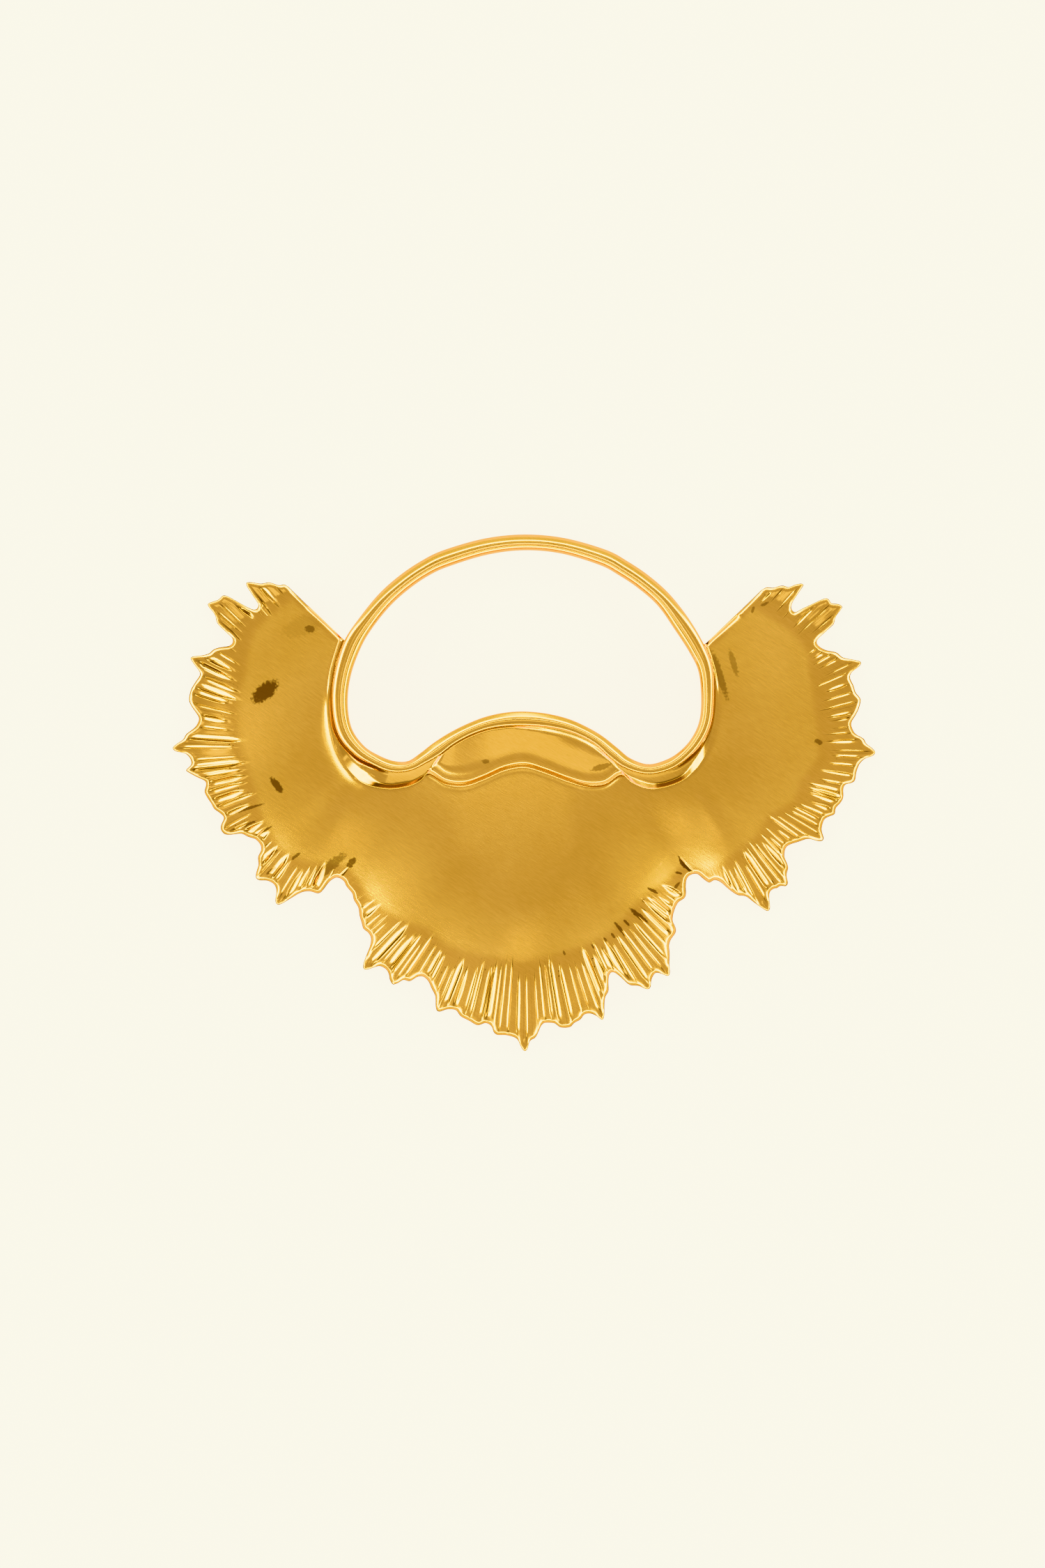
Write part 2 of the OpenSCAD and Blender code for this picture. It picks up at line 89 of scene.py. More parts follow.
# The rim of the middle fan, from left to right
middle_rim = [
    [-29.2, -13.25], [-28.15, -13.75], [-27.75, -14.6], [-26.85, -15.7], [-26.6, -16.7], [-25.9, -17.9],
    [-25.7, -19.2], [-25.35, -20.4], [-25.1, -21.25], [-24.3, -21.9], [-23.9, -22.8], [-24.1, -24.0],
    [-24.7, -25.5], [-25.2, -27.05], [-24.95, -27.65], [-24.1, -27.55], [-22.6, -27.1], [-21.55, -27.6],
    [-21.1, -28.45], [-21.0, -29.2], [-20.45, -30.0], [-19.65, -29.75], [-18.8, -29.25], [-17.8, -29.5],
    [-16.95, -28.95], [-15.95, -28.65], [-15.0, -29.35], [-14.45, -30.55], [-13.85, -31.85], [-13.8, -33.6],
    [-13.25, -34.25], [-11.95, -33.85], [-10.6, -34.0], [-9.95, -34.9], [-8.55, -35.65], [-7.25, -36.35],
    [-5.95, -36.0], [-5.05, -36.5], [-4.75, -37.4], [-4.2, -37.85], [-2.8, -37.9], [-1.45, -38.25],
    [-0.85, -38.8], [-0.5, -39.7], [0.1, -40.45], [0.65, -39.95], [0.95, -38.8], [1.85, -38.3],
    [2.35, -37.3], [2.8, -36.3], [3.4, -35.95], [4.85, -36.05], [5.5, -36.6], [6.4, -36.75],
    [7.35, -36.6], [7.9, -36.0], [8.9, -35.45], [9.45, -34.7], [10.3, -34.5], [11.4, -34.9],
    [12.15, -35.5], [12.6, -35.05], [12.65, -33.35], [12.75, -31.95], [13.3, -30.95], [13.25, -29.65],
    [13.4, -28.4], [13.95, -28.0], [14.9, -28.6], [16.0, -29.65], [16.6, -30.1], [17.95, -30.2],
    [19.25, -30.75], [19.85, -30.4], [20.0, -29.2], [20.6, -28.2], [21.55, -28.3], [22.4, -28.65],
    [22.9, -28.25], [22.8, -26.8], [22.85, -25.1], [22.75, -23.75], [23.05, -22.9], [23.8, -21.8],
    [23.75, -20.95], [23.3, -19.95], [23.5, -18.55], [24.15, -17.15], [25.1, -16.5], [25.4, -15.8],
    [25.35, -14.6], [25.5, -13.45], [26.1, -12.8],
]
# The rim of the right fan, from the middle fan up to its shoulder
right_rim = [
    [27.1, -12.7], [27.95, -13.4], [28.95, -14.05], [29.8, -13.65], [30.7, -13.95], [32.1, -15.15],
    [33.4, -16.0], [34.7, -16.2], [36.05, -17.2], [37.35, -18.1], [38.1, -18.55], [38.55, -18.1],
    [38.45, -16.8], [38.45, -15.6], [39.1, -15.0], [39.7, -14.9], [40.1, -14.55], [41.05, -14.6],
    [41.35, -14.0], [41.1, -12.85], [41.4, -11.6], [41.05, -10.7], [40.75, -9.8], [40.95, -8.65],
    [41.6, -8.1], [43.0, -7.65], [44.4, -7.2], [45.4, -7.4], [46.4, -7.65], [46.95, -7.25],
    [46.8, -6.5], [46.6, -5.65], [47.0, -4.2], [47.8, -3.7], [48.65, -3.35], [48.8, -2.4],
    [49.6, -1.5], [50.0, -0.65], [50.0, 0.65], [50.35, 1.3], [51.4, 1.55], [51.85, 2.0],
    [52.05, 3.25], [52.6, 4.6], [53.5, 5.4], [54.55, 5.75], [55.05, 6.3], [54.45, 7.1],
    [53.6, 7.7], [53.15, 8.55], [51.95, 9.2], [51.4, 10.1], [51.25, 11.0], [51.95, 12.2],
    [52.5, 13.4], [52.7, 14.7], [51.95, 15.7], [51.6, 16.8], [51.05, 18.0], [51.3, 18.85],
    [52.6, 19.85], [52.8, 20.5], [51.7, 20.85], [49.95, 21.2], [48.9, 22.0], [47.15, 22.4],
    [46.05, 23.1], [45.8, 23.75], [46.5, 24.55], [47.8, 25.5], [48.55, 26.4], [48.75, 27.45],
    [49.6, 28.6], [49.85, 29.2], [49.1, 29.6], [48.1, 29.7], [47.7, 30.35], [46.9, 30.4],
    [45.15, 29.6], [43.45, 28.8], [42.4, 28.25], [41.85, 29.0], [42.15, 30.0], [43.0, 31.15],
    [43.85, 32.2], [43.6, 32.75], [42.55, 32.65], [41.45, 32.2], [40.4, 32.5], [39.05, 32.1],
    [38.0, 32.2], [37.1, 31.7],
]
# Where the flutes start in each fan: [bearing from the fan's middle in degrees, how far out]
left_heads = np.array([
    [125, 26.5], [135, 26.4], [148, 23.6], [158, 22.6], [170, 21.6], [184, 20.2],
    [200, 19.6], [215, 20.6], [228, 21.5], [240, 20.4], [254, 18.5],
])
middle_heads = np.array([
    [198, 29.5], [212, 28.5], [222, 27.2], [233, 25.2], [243, 25.8], [256, 25.2],
    [270, 25.0], [285, 24.6], [303, 24.8], [315, 23.9], [325, 24.4], [336, 26.8],
])
right_heads = np.array([
    [286, 19.8], [298, 19.0], [311, 18.8], [325, 18.2], [336, 20.4], [345, 20.5],
    [357, 22.7], [375, 22.8], [388, 24.2], [396, 26.0], [405, 26.0], [420, 25.0],
])

# The frame where it sits on the plate, from the left junction round below to the right one:
# [x and y of its inner edge, its width, x and y of the crease between its collar or leaf and the plate]
seat_rows = np.array([
    [-25.4, 22.6, 2.8, -28.5, 24.3],
    [-26.9, 18.4, 2.6, -30.1, 18.8],
    [-27.4, 14.2, 2.5, -30.5, 14.0],
    [-26.8, 10.2, 2.4, -29.8, 9.4],
    [-24.9, 7.4, 2.1, -28.2, 5.0],
    [-22.6, 5.9, 1.9, -25.4, 1.9],
    [-20.2, 5.0, 1.8, -21.6, 0.8],
    [-18.0, 5.0, 1.6, -18.2, 1.1],
    [-16.0, 6.3, 1.9, -16.0, 2.1],
    [-14.2, 7.7, 2.2, -14.8, 3.2],
    [-11.9, 9.2, 2.0, -12.2, 1.7],
    [-9.2, 10.6, 1.9, -9.2, 1.4],
    [-6.2, 11.8, 2.0, -6.2, 2.4],
    [-3.1, 12.5, 2.2, -3.0, 3.8],
    [0, 12.7, 2.3, 0.2, 4.3],
    [3.4, 12.4, 2.2, 3.4, 3.4],
    [6.8, 11.6, 2.0, 6.9, 2.1],
    [9.6, 10.4, 1.8, 9.9, 1.3],
    [12.2, 8.9, 1.8, 12.7, 1.5],
    [14.6, 7.0, 2.0, 15.2, 3.0],
    [16.6, 5.4, 1.8, 17.0, 1.7],
    [19.3, 4.5, 1.6, 19.8, 0.8],
    [21.9, 5.1, 1.7, 23.2, 1.4],
    [24.0, 6.3, 1.7, 26.0, 3.0],
    [26.0, 8.4, 1.8, 28.3, 6.0],
    [27.3, 11.2, 1.9, 29.7, 10.2],
    [27.6, 14.8, 2.0, 30.2, 14.4],
    [27.2, 18.9, 2.3, 29.8, 18.7],
    [25.8, 21.9, 2.6, 28.4, 23.3],
])
# The free arch of the frame, from the right junction over the top to the left one:
# [x and y of its inner edge, its width]
arch_rows = np.array([
    [23.5, 25.5, 2.8],
    [20.9, 29.2, 2.6],
    [17.9, 31.9, 2.6],
    [14.8, 34.0, 2.6],
    [11.8, 35.6, 2.6],
    [5.8, 37.4, 2.5],
    [0, 37.9, 2.5],
    [-5.7, 37.2, 2.6],
    [-11.6, 35.4, 2.7],
    [-14.7, 34.0, 2.6],
    [-17.8, 31.9, 2.6],
    [-20.8, 29.2, 2.6],
    [-23.6, 25.7, 2.6],
])
# Section of the frame where it stands free, from its inner bottom edge over the top to its outer
# edge: an inner bead, a step up, a narrow flat and a wide outer bevel.
# [part of the width, part of the height, how dark its painted shade is]
arch_section = np.array([
    [0.12, 0, 1], [0.03, 0.10, 1], [0, 0.26, 1], [0.005, 0.40, 0.7], [0.03, 0.50, 0.1],
    [0.08, 0.56, 0], [0.15, 0.62, 0], [0.22, 0.67, 0], [0.27, 0.69, 0.1], [0.31, 0.70, 0.7],
    [0.335, 0.76, 1], [0.355, 0.86, 0.9], [0.38, 0.95, 0.3], [0.42, 0.99, 0], [0.48, 1, 0],
    [0.54, 1, 0], [0.59, 0.985, 0], [0.68, 0.925, 0], [0.82, 0.82, 0], [0.95, 0.72, 0.1],
    [0.99, 0.62, 0.7], [1, 0.45, 1],
])
# Its section beside the fans, with the same rows: the flat is wide and the outer bevel narrow
side_section = np.array([
    [0.12, 0, 1], [0.03, 0.12, 1], [0, 0.32, 1], [0.01, 0.50, 0.7], [0.04, 0.60, 0.1],
    [0.10, 0.645, 0], [0.17, 0.695, 0], [0.24, 0.745, 0], [0.29, 0.755, 0.1], [0.33, 0.76, 0.7],
    [0.35, 0.80, 1], [0.37, 0.88, 0.9], [0.39, 0.95, 0.3], [0.43, 0.985, 0], [0.52, 1, 0],
    [0.64, 1, 0], [0.74, 0.985, 0], [0.80, 0.957, 0], [0.87, 0.92, 0], [0.94, 0.882, 0],
    [0.985, 0.79, 0.5], [1, 0.58, 0.7],
])
# Its section over the collars and the leaf: a wide inner bevel, a thin step and a flat band
hump_section = np.array([
    [0.12, 0, 1], [0.03, 0.12, 1], [0, 0.36, 1], [0.01, 0.56, 0.7], [0.03, 0.655, 0.2],
    [0.10, 0.697, 0], [0.20, 0.752, 0], [0.30, 0.807, 0], [0.37, 0.845, 0], [0.41, 0.855, 0.5],
    [0.435, 0.87, 1], [0.455, 0.92, 1], [0.475, 0.965, 0.2], [0.52, 0.99, 0], [0.60, 1, 0],
    [0.72, 1, 0], [0.82, 0.995, 0], [0.89, 0.98, 0.1], [0.93, 0.94, 0.6], [0.96, 0.88, 0.85],
    [0.985, 0.81, 0.85], [1, 0.74, 0.85],
])

# The plate's thickness inside and at the rim, and the height of the frame's top above the hollow
plate_t = 1.6
rim_t = 1.2
frame_h = 3.1
# The hollow behind the plate: its height, half its width and half its length, the place of its
# middle, and the power that shapes it
hollow_h = 6.5
hollow_x = 62.0
hollow_y = 46.5
hollow_mid_y = -6.0
hollow_power = 0.75
# Its fall to the rim: its length, how far its foot lies outside the mean rim, and the turn in
# degrees over which that mean is taken
rim_run = 24.0
foot_margin = 1.0
mean_turn = 12.0
# Width over which the domes of two fans blend: near the rim, far inside, and where it grows
blend_w = 1.5
inner_blend_w = 5.0
blend_start = 2
blend_run = 20
# Length of rim over which the flutes turn from one aim to the next
swing = 8.0
# Places on the frame's seat that face the meetings of two fans
left_meet = 5
right_meet = 23

# Points of the smooth rim for each listed one, and stations of the rim for each one of the field
rim_steps = 12
coarse_step = 6
# A groove's deepest place, in parts of its half width towards its narrow wall
deepest = 0.3
# A place across a groove that is far from any
far_off = 9.0
hand = np.random.default_rng(11)


def smoothstep(v):
    """Rises from 0 to 1 with level ends: three squares less two cubes of the clamped value."""
    c = np.clip(v, 0, 1)
    return c * c * (3 - 2 * c)


def mix(a, b, t):
    return a + (b - a) * t


def blurred(values, sigma):
    """Each value averaged with its neighbours, weighted by a bell of sigma samples, ends mirrored through."""
    reach = int(4 * sigma) + 1
    bell = np.exp(-0.5 * (np.arange(-reach, reach + 1) / sigma) ** 2)
    bell /= bell.sum()
    v = np.asarray(values, float).reshape(len(values), -1)
    head = 2 * v[0] - v[reach:0:-1]
    tail = 2 * v[-1] - v[-2:-reach - 2:-1]
    full = np.concatenate([head, v, tail])
    out = np.stack([np.convolve(full[:, k], bell, "valid") for k in range(v.shape[1])], axis=1)
    return out.reshape(np.shape(values))


def curve_at(rows, q, closed):
    """Catmull-Rom curve through the rows at places q: the value and its slope at each place."""
    rows = np.asarray(rows, float)
    n = len(rows)
    k = np.floor(q).astype(int)
    if not closed:
        k = np.minimum(k, n - 2)
    t = (q - k)[:, None]
    pick = (lambda i: rows[i % n]) if closed else (lambda i: rows[np.clip(i, 0, n - 1)])
    a, b, c, d = pick(k - 1), pick(k), pick(k + 1), pick(k + 2)
    value = 0.5 * (2 * b + (c - a) * t + (2 * a - 5 * b + 4 * c - d) * t**2 + (3 * b - a - 3 * c + d) * t**3)
    slope = 0.5 * ((c - a) + 2 * (2 * a - 5 * b + 4 * c - d) * t + 3 * (3 * b - a - 3 * c + d) * t**2)
    return value, slope


def unit(v):
    return v / np.maximum(np.linalg.norm(v, axis=-1, keepdims=True), 1e-9)


rims = [np.array(left_rim), np.array(middle_rim), np.array(right_rim)]
heads = [left_heads, middle_heads, right_heads]


def angle_round(fan, xy):
    """Angle round a fan's middle, unwrapped about the way that the fan faces, in radians."""
    bearing = math.radians(fan[2])
    turn = np.arctan2(xy[..., 1] - fan[1], xy[..., 0] - fan[0]) - bearing
    return bearing + turn - 2 * np.pi * np.round(turn / (2 * np.pi))


def reach_from(fan, xy):
    return np.hypot(xy[..., 0] - fan[0], xy[..., 1] - fan[1])


# Least growth of an angle from one point of the rim to the next, and the gap between two fans' arcs
least_turn = 1e-3
fan_gap = 0.1


def never_back(turn):
    """Angles made to grow by at least least_turn from each point to the next."""
    least = least_turn * np.arange(len(turn))
    return np.maximum.accumulate(turn - least) + least


def facing(turn):
    """Unit vectors at angles in radians."""
    return np.column_stack([np.cos(turn), np.sin(turn)])


# The rim as one smooth line through all its points. Its columns: x, y, reach from its fan's middle,
# how far out the flutes start, the fan's mean reach, and the way along the fan's mean arc, which
# never runs back
rim_points = np.concatenate(rims)
rim_spans = len(rim_points) - 1
smooth_rim, _ = curve_at(rim_points, np.linspace(0, rim_spans, rim_steps * rim_spans + 1), False)
first_points = np.cumsum([0] + [len(r) for r in rims])
parts = []
way_now = 0.0
for fan, fan_heads, first, end in zip(fans, heads, first_points[:-1], first_points[1:]):
    line = smooth_rim[rim_steps * first:rim_steps * end]
    bearing = never_back(np.degrees(angle_round(fan, line)))
    reach = reach_from(fan, line)
    line = fan[:2] + reach[:, None] * facing(np.radians(bearing))
    way = way_now + np.radians(bearing - bearing[0]) * fan[3]
    head = np.interp(bearing, fan_heads[:, 0], fan_heads[:, 1])
    parts.append(np.column_stack([line, reach, head, np.full(len(line), fan[3]), way]))
    way_now = way[-1] + fan_gap
dense = np.concatenate(parts)
meets = np.cumsum([len(p) for p in parts])[:2]


# Each groove between two flutes: its place along the mean arc, half width, depth, which way its narrow
# wall lies, head, and the lengths over which it fades in there and out at the edge. Below are the
# first place, the least room after the last one and the limits of the draws. Spacings and widths are
# in parts of a flute's width, and the power makes narrow grooves the more common ones
first_groove = 0.8
last_gap = 1.5
spacings = (0.68, 1.32)
narrowest = 0.11
narrow_power = 1.6
depths = (0.88, 1.12)
head_shifts = (-0.8, 1.8)
tapers = (2.0, 5.0)
end_fades = (0.25, 0.7)
# The grooves are deeper towards the shoulders, by these parts and over this length
deeper_left = 0.4
deeper_right = 0.3
deeper_run = 9

dense_way = dense[:, 5]
last_way = dense_way[-1]
meet_ways = dense_way[meets]
groove_place = [first_groove]
while groove_place[-1] < last_way - last_gap:
    here = fans[np.searchsorted(meet_ways, groove_place[-1]), 4]
    groove_place.append(groove_place[-1] + here * hand.uniform(*spacings))
groove_place = np.array(groove_place)
groove_count = len(groove_place)
flute_w, wall_slope, widest = fans[np.searchsorted(meet_ways, groove_place), 4:].T
groove_w = flute_w * mix(narrowest, widest, hand.uniform(0, 1, groove_count) ** narrow_power)
groove_d = groove_w * wall_slope * (1 + deepest) * hand.uniform(*depths, groove_count)
groove_turn = hand.choice([-1.0, 1.0], groove_count)
more_left = deeper_left * np.exp(-groove_place / deeper_run)
more_right = deeper_right * np.exp((groove_place - last_way) / deeper_run)
groove_d = groove_d * (1 + more_left + more_right)
groove_head = np.interp(groove_place, dense_way, dense[:, 3]) + hand.uniform(*head_shifts, groove_count)
groove_taper = hand.uniform(*tapers, groove_count)
groove_end = hand.uniform(*end_fades, groove_count)

# Stations of the rim: how far apart they are, their places across a groove in parts of its half
# width, the least distance of the others from those, and the least gap between any two
station_gap = 0.19
groove_marks = np.array([-1, -0.7, -0.35, 0, deepest, 0.65, 1])
clear_of_mark = 0.08
least_gap = 0.015
# How much longer each end of the rim counts, and over what length, so that stations crowd there
crowd_extra = 1.5
crowd_run = 1.2
# A change of reach that is a jump from one fan's middle to the next one's
reach_jump = 0.5


def stations(rows):
    """The dense rim at its stations, their places along it and those of the dense rim. A step inwards
    or outwards counts half of one along the rim."""
    step = np.diff(rows[:, :2], axis=0)
    radial = np.diff(rows[:, 2])
    radial = np.where(np.abs(radial) > reach_jump, 0, radial)
    length = np.sqrt(np.maximum((step**2).sum(axis=1) - radial**2, 0) + (0.5 * radial) ** 2)
    place = np.concatenate([[0], np.cumsum(length)])
    across = groove_turn[:, None] * groove_marks
    marks = (groove_place[:, None] + groove_w[:, None] * across).ravel()
    marks = np.unique(np.interp(marks, rows[:, 5], place))

    def crowded(p):
        """A place along the rim, measured so that both ends count as longer than they are."""
        first = crowd_extra * (1 - np.exp(-p / crowd_run))
        last = crowd_extra * np.exp((p - place[-1]) / crowd_run)
        return p + first - last

    wanted = np.linspace(crowded(place[0]), crowded(place[-1]), int(place[-1] / station_gap))
    even = np.interp(wanted, crowded(place), place)
    clear = np.abs(even[:, None] - marks[None, :]).min(axis=1) > clear_of_mark
    clear[[0, -1]] = True
    at = np.sort(np.concatenate([even[clear], marks]))
    at = at[np.append(True, np.diff(at) > least_gap)]
    spare = (len(at) - 1) % coarse_step
    at = np.delete(at, 1 + np.argsort(at[2:] - at[:-2])[:spare])
    return np.stack([np.interp(at, place, rows[:, k]) for k in range(rows.shape[1])], axis=1), at, place


# The stations, smoothed and kept from running back round their fan's middle
rim, rim_at, dense_at = stations(dense)
fine_count = len(rim)
meet_at = dense_at[meets]
rim_xy = blurred(rim[:, :2], 1.0)
rim_reach, rim_head, rim_mean, rim_way = rim[:, 2:].T
rim_fan = np.searchsorted(meet_at, rim_at)
for k, fan in enumerate(fans):
    mine = rim_fan == k
    turn = never_back(angle_round(fan, rim_xy[mine]))
    rim_reach[mine] = reach_from(fan, rim_xy[mine])
    rim_xy[mine] = fan[:2] + rim_reach[mine, None] * facing(turn)

# The flutes run towards the fans' middles, and beside the shoulders towards the frame's junctions
seat_last = len(seat_rows) - 1
join_left, join_right = seat_rows[0, 3:], seat_rows[-1, 3:]
aim = mix(join_left, fans[0, :2], smoothstep(rim_at / swing)[:, None])
for fan, meet in zip(fans[1:], meet_at):
    aim = mix(aim, fan[:2], smoothstep((rim_at - meet) / swing + 0.5)[:, None])
aim = mix(join_right, aim, smoothstep((rim_at[-1] - rim_at) / swing)[:, None])
inward = unit(aim - rim_xy)


def hollow_z(xy):
    """Height of the smooth hollow: its height times a power of one less the squares of the place."""
    left = 1 - (xy[..., 0] / hollow_x) ** 2 - ((xy[..., 1] - hollow_mid_y) / hollow_y) ** 2
    return hollow_h * np.maximum(left, 0) ** hollow_power


def under_z(xy):
    """The hollow with its fall to the rim, less the square of how near the fans' rounded foot is,
    and the distance to that foot. Two fans blend over a greater width farther from the rim."""
    inside = []
    for fan, table in zip(fans, rims):
        turn = np.degrees(angle_round(fan, xy)[..., None] - angle_round(fan, table))
        bell = np.exp(-((turn / mean_turn) ** 2))
        mean = (bell * reach_from(fan, table)).sum(axis=-1) / bell.sum(axis=-1)
        inside.append(mean + foot_margin - reach_from(fan, xy))
    inside = np.array(inside)
    blend = mix(blend_w, inner_blend_w, smoothstep((inside.max(axis=0) - blend_start) / blend_run))
    foot = blend * np.log(np.exp(inside / blend).sum(axis=0))
    return hollow_z(xy) * (1 - (1 - np.clip(foot / rim_run, 0, 1)) ** 2), foot


# The edge of the whole plate: the left shoulder, the rim and the right shoulder. Distances to it are
# tried over a window of stations to either side
shoulder_points = 60
edge_window = 180
shoulder_steps = np.linspace(0, 1, shoulder_points)[:, None]
edge_line = np.concatenate([mix(join_left, rim_xy[0], shoulder_steps)[:-1], rim_xy,
                            mix(rim_xy[-1], join_right, shoulder_steps)[1:]])


def edge_distance(xy, station):
    """Least distance from each point to the plate's edge, tried over the pieces of the edge near its
    own station and over both shoulders."""
    nearby = station[:, None] + shoulder_points - 1 + np.arange(-edge_window, edge_window)
    low = np.clip(nearby, 0, len(edge_line) - 2)
    best = np.full(len(xy), np.inf)
    lines = ((edge_line[low], edge_line[low + 1]), (join_left, rim_xy[0]), (rim_xy[-1], join_right))
    for start, end in lines:
        way = end - start
        t = ((xy[:, None, :] - start) * way).sum(-1) / np.maximum((way**2).sum(-1), 1e-12)
        away = np.linalg.norm(xy[:, None, :] - start - np.clip(t, 0, 1)[..., None] * way, axis=-1)
        best = np.minimum(best, away.min(axis=1))
    return best


# Where a groove ends before the rim, the part of its width and depth that its pointed head has, and
# how fast its depth and its painted dark line of shade come in from there
groove_stop = 0.45
head_part = 0.25
depth_rise = 6
line_rise = 4


def grooves(way, radius, edge, mean):
    """Depth cut by the two grooves nearest to each point, the place across the nearer one in parts
    of its half width, and how fully it is cut there. Across, a groove has a wide and a narrow wall;
    along it, it grows from the pointed head and ends before the rim."""
    right = np.clip(np.searchsorted(groove_place, way), 1, groove_count - 1)
    cut = np.zeros_like(radius)
    place = np.full_like(radius, far_off)
    cutting = np.zeros_like(radius)
    for k in (right - 1, right):
        body = smoothstep((radius - groove_head[k]) / groove_taper[k])
        ends = smoothstep((edge - groove_stop) / groove_end[k])
        grown = mix(head_part, 1, body)
        across = groove_turn[k] * (way - groove_place[k]) * radius / mean / (groove_w[k] * grown)
        depth = groove_d[k] * grown * smoothstep(depth_rise * body) * ends
        wall = np.minimum((across + 1) / (1 + deepest), (1 - across) / (1 - deepest))
        cut = cut + depth * np.clip(wall, 0, 1)
        nearer = np.abs(across) < np.abs(place)
        place = np.where(nearer, across, place)
        cutting = np.where(nearer, smoothstep(line_rise * body) * ends, cutting)
    return cut, place, cutting


# The edge's bevel: [distance from the edge, part of the full height]
edge_bevel = np.array([
    [0, 0], [0.04, 0.56], [0.1, 0.7], [0.28, 0.828], [0.46, 0.955], [0.52, 0.985], [0.6, 1],
])
# Height of the edge itself in parts of the rim's thickness, the length over which the plate reaches
# its full thickness, and how far in the edge is polished
rim_mid = 0.42
thick_run = 9
bright_edge = 1.5


def edge_fall(edge):
    """How much of its full height the plate has near its edge."""
    return np.interp(edge, edge_bevel[:, 0], edge_bevel[:, 1])


def edge_polish(edge):
    """How bright the face is from the polishing of its edge."""
    return smoothstep(bright_edge - edge)


def top_z(xy, edge, cut):
    """Height of the face: the hollow and the plate's thickness, less the grooves, rounded at the edge."""
    low, foot = under_z(xy)
    thick = mix(rim_t, plate_t, smoothstep(foot / thick_run))
    full = low + thick - cut
    bottom = low + rim_mid * rim_t
    return bottom + (full - bottom) * edge_fall(edge)


# Rows of the fluted zone, from the rim inwards to just past the heads of the flutes. Each row has its
# points, then for each point its polish, painted shade, groove, cutting and chase, as add_row takes them
near_edge = np.array([0, 0.05, 0.12, 0.29, 0.46, 0.53, 0.64])
zone_rows = 16
# How far inside the heads the zone ends, how far inside the deepest notch within a window of
# stations, and over how many stations that line is smoothed
head_margin = 2.2
notch_margin = 2.5
notch_window = 30
zone_blur = 25
# Its depth where two fans meet, half the length of such a place, and over what length the grooves
# fade at its end
meet_inset = 4.5
meet_half = 2.5
zone_fade = 1.5
# How far inside their heads the flutes' polish starts, over what length it comes in, how wide the
# edge's painted shade is, over what length it fades, and how far from the edge the chased lines start
polish_before = 1.0
polish_run = 2.0
edge_shade = 0.17
edge_shade_fade = 0.1
chase_start = 0.5

zone_reach = np.zeros(fine_count)
for k in range(len(fans)):
    mine = rim_fan == k
    padded = np.pad(rim_reach[mine], notch_window, mode="edge")
    lowest = np.lib.stride_tricks.sliding_window_view(padded, 2 * notch_window + 1).min(axis=1)
    zone_reach[mine] = blurred(np.minimum(rim_head[mine] - head_margin, lowest - notch_margin), zone_blur)
beside_meet = np.exp(-((rim_at[:, None] - meet_at) / meet_half) ** 2).sum(axis=1)
last_inset = mix(rim_reach - zone_reach, meet_inset, np.minimum(beside_meet, 1))
fine_insets = [np.full(fine_count, e) for e in near_edge]
fine_insets += [mix(near_edge[-1], last_inset, p) for p in np.linspace(0, 1, zone_rows + 1)[1:]]
station = np.arange(fine_count)
fine_rows = []
for inset in fine_insets:
    xy = rim_xy + inset[:, None] * inward
    edge = edge_distance(xy, station)
    cut, place, cutting = grooves(rim_way, rim_reach - inset, edge, rim_mean)
    in_zone = smoothstep((last_inset - inset) / zone_fade)
    row = np.column_stack([xy, top_z(xy, edge, cut * in_zone)])
    near = smoothstep((rim_reach - inset - (rim_head - polish_before)) / polish_run)
    polish = np.maximum(near, edge_polish(edge))
    # Painted shade: a thin dark line along the plate's edge, where it meets the table
    painted_shade = smoothstep((edge_shade - edge) / edge_shade_fade)
    chased = near * smoothstep((edge - chase_start) / chase_start) * in_zone
    chase = np.column_stack([rim_way, rim_reach - inset, chased])
    fine_rows.append((row, polish, painted_shade, place, cutting * in_zone, chase))

# Stations of the smooth field: their places on the frame's seat, the crease and the fluted zone's end
coarse = np.arange(0, fine_count, coarse_step)
coarse_count = len(coarse)
at = rim_at[coarse]
seat_q = np.interp(at, [0, *meet_at, at[-1]], [0, left_meet, right_meet, seat_last])
crease, _ = curve_at(seat_rows[:, 3:], seat_q, False)
zone_end = (rim_xy + last_inset[:, None] * inward)[coarse]

# Stations of the whole frame: those of the field, then those of the arch in even steps
arch_steps = 219
frame_rows = np.concatenate([seat_rows[:, :3], arch_rows])
arch_places = seat_last + np.linspace(0, len(arch_rows) + 1, arch_steps + 1)[1:-1]
frame_q = np.concatenate([seat_q, arch_places])
frame_line, frame_way = curve_at(frame_rows, frame_q, True)
frame_out = unit(np.column_stack([frame_way[:, 1], -frame_way[:, 0]]))


def across_frame(share):
    """Places across the frame, at a part of its width from the inner edge."""
    return frame_line[:, :2] + (share * frame_line[:, 2])[:, None] * frame_out


def between(q, low, high, soft):
    """1 between two places on the seat and 0 outside them, with soft ends."""
    return smoothstep((q - low) / soft + 0.5) * smoothstep((high - q) / soft + 0.5)


# How much of the humped section and of the free one each place along the frame has
hump = between(frame_q, left_meet, right_meet, 2.0)
free = between(frame_q, 29.5, 40.5, 3.0)
seat_edge = across_frame(1)[:coarse_count]
seat_foot = hollow_z(across_frame(1))

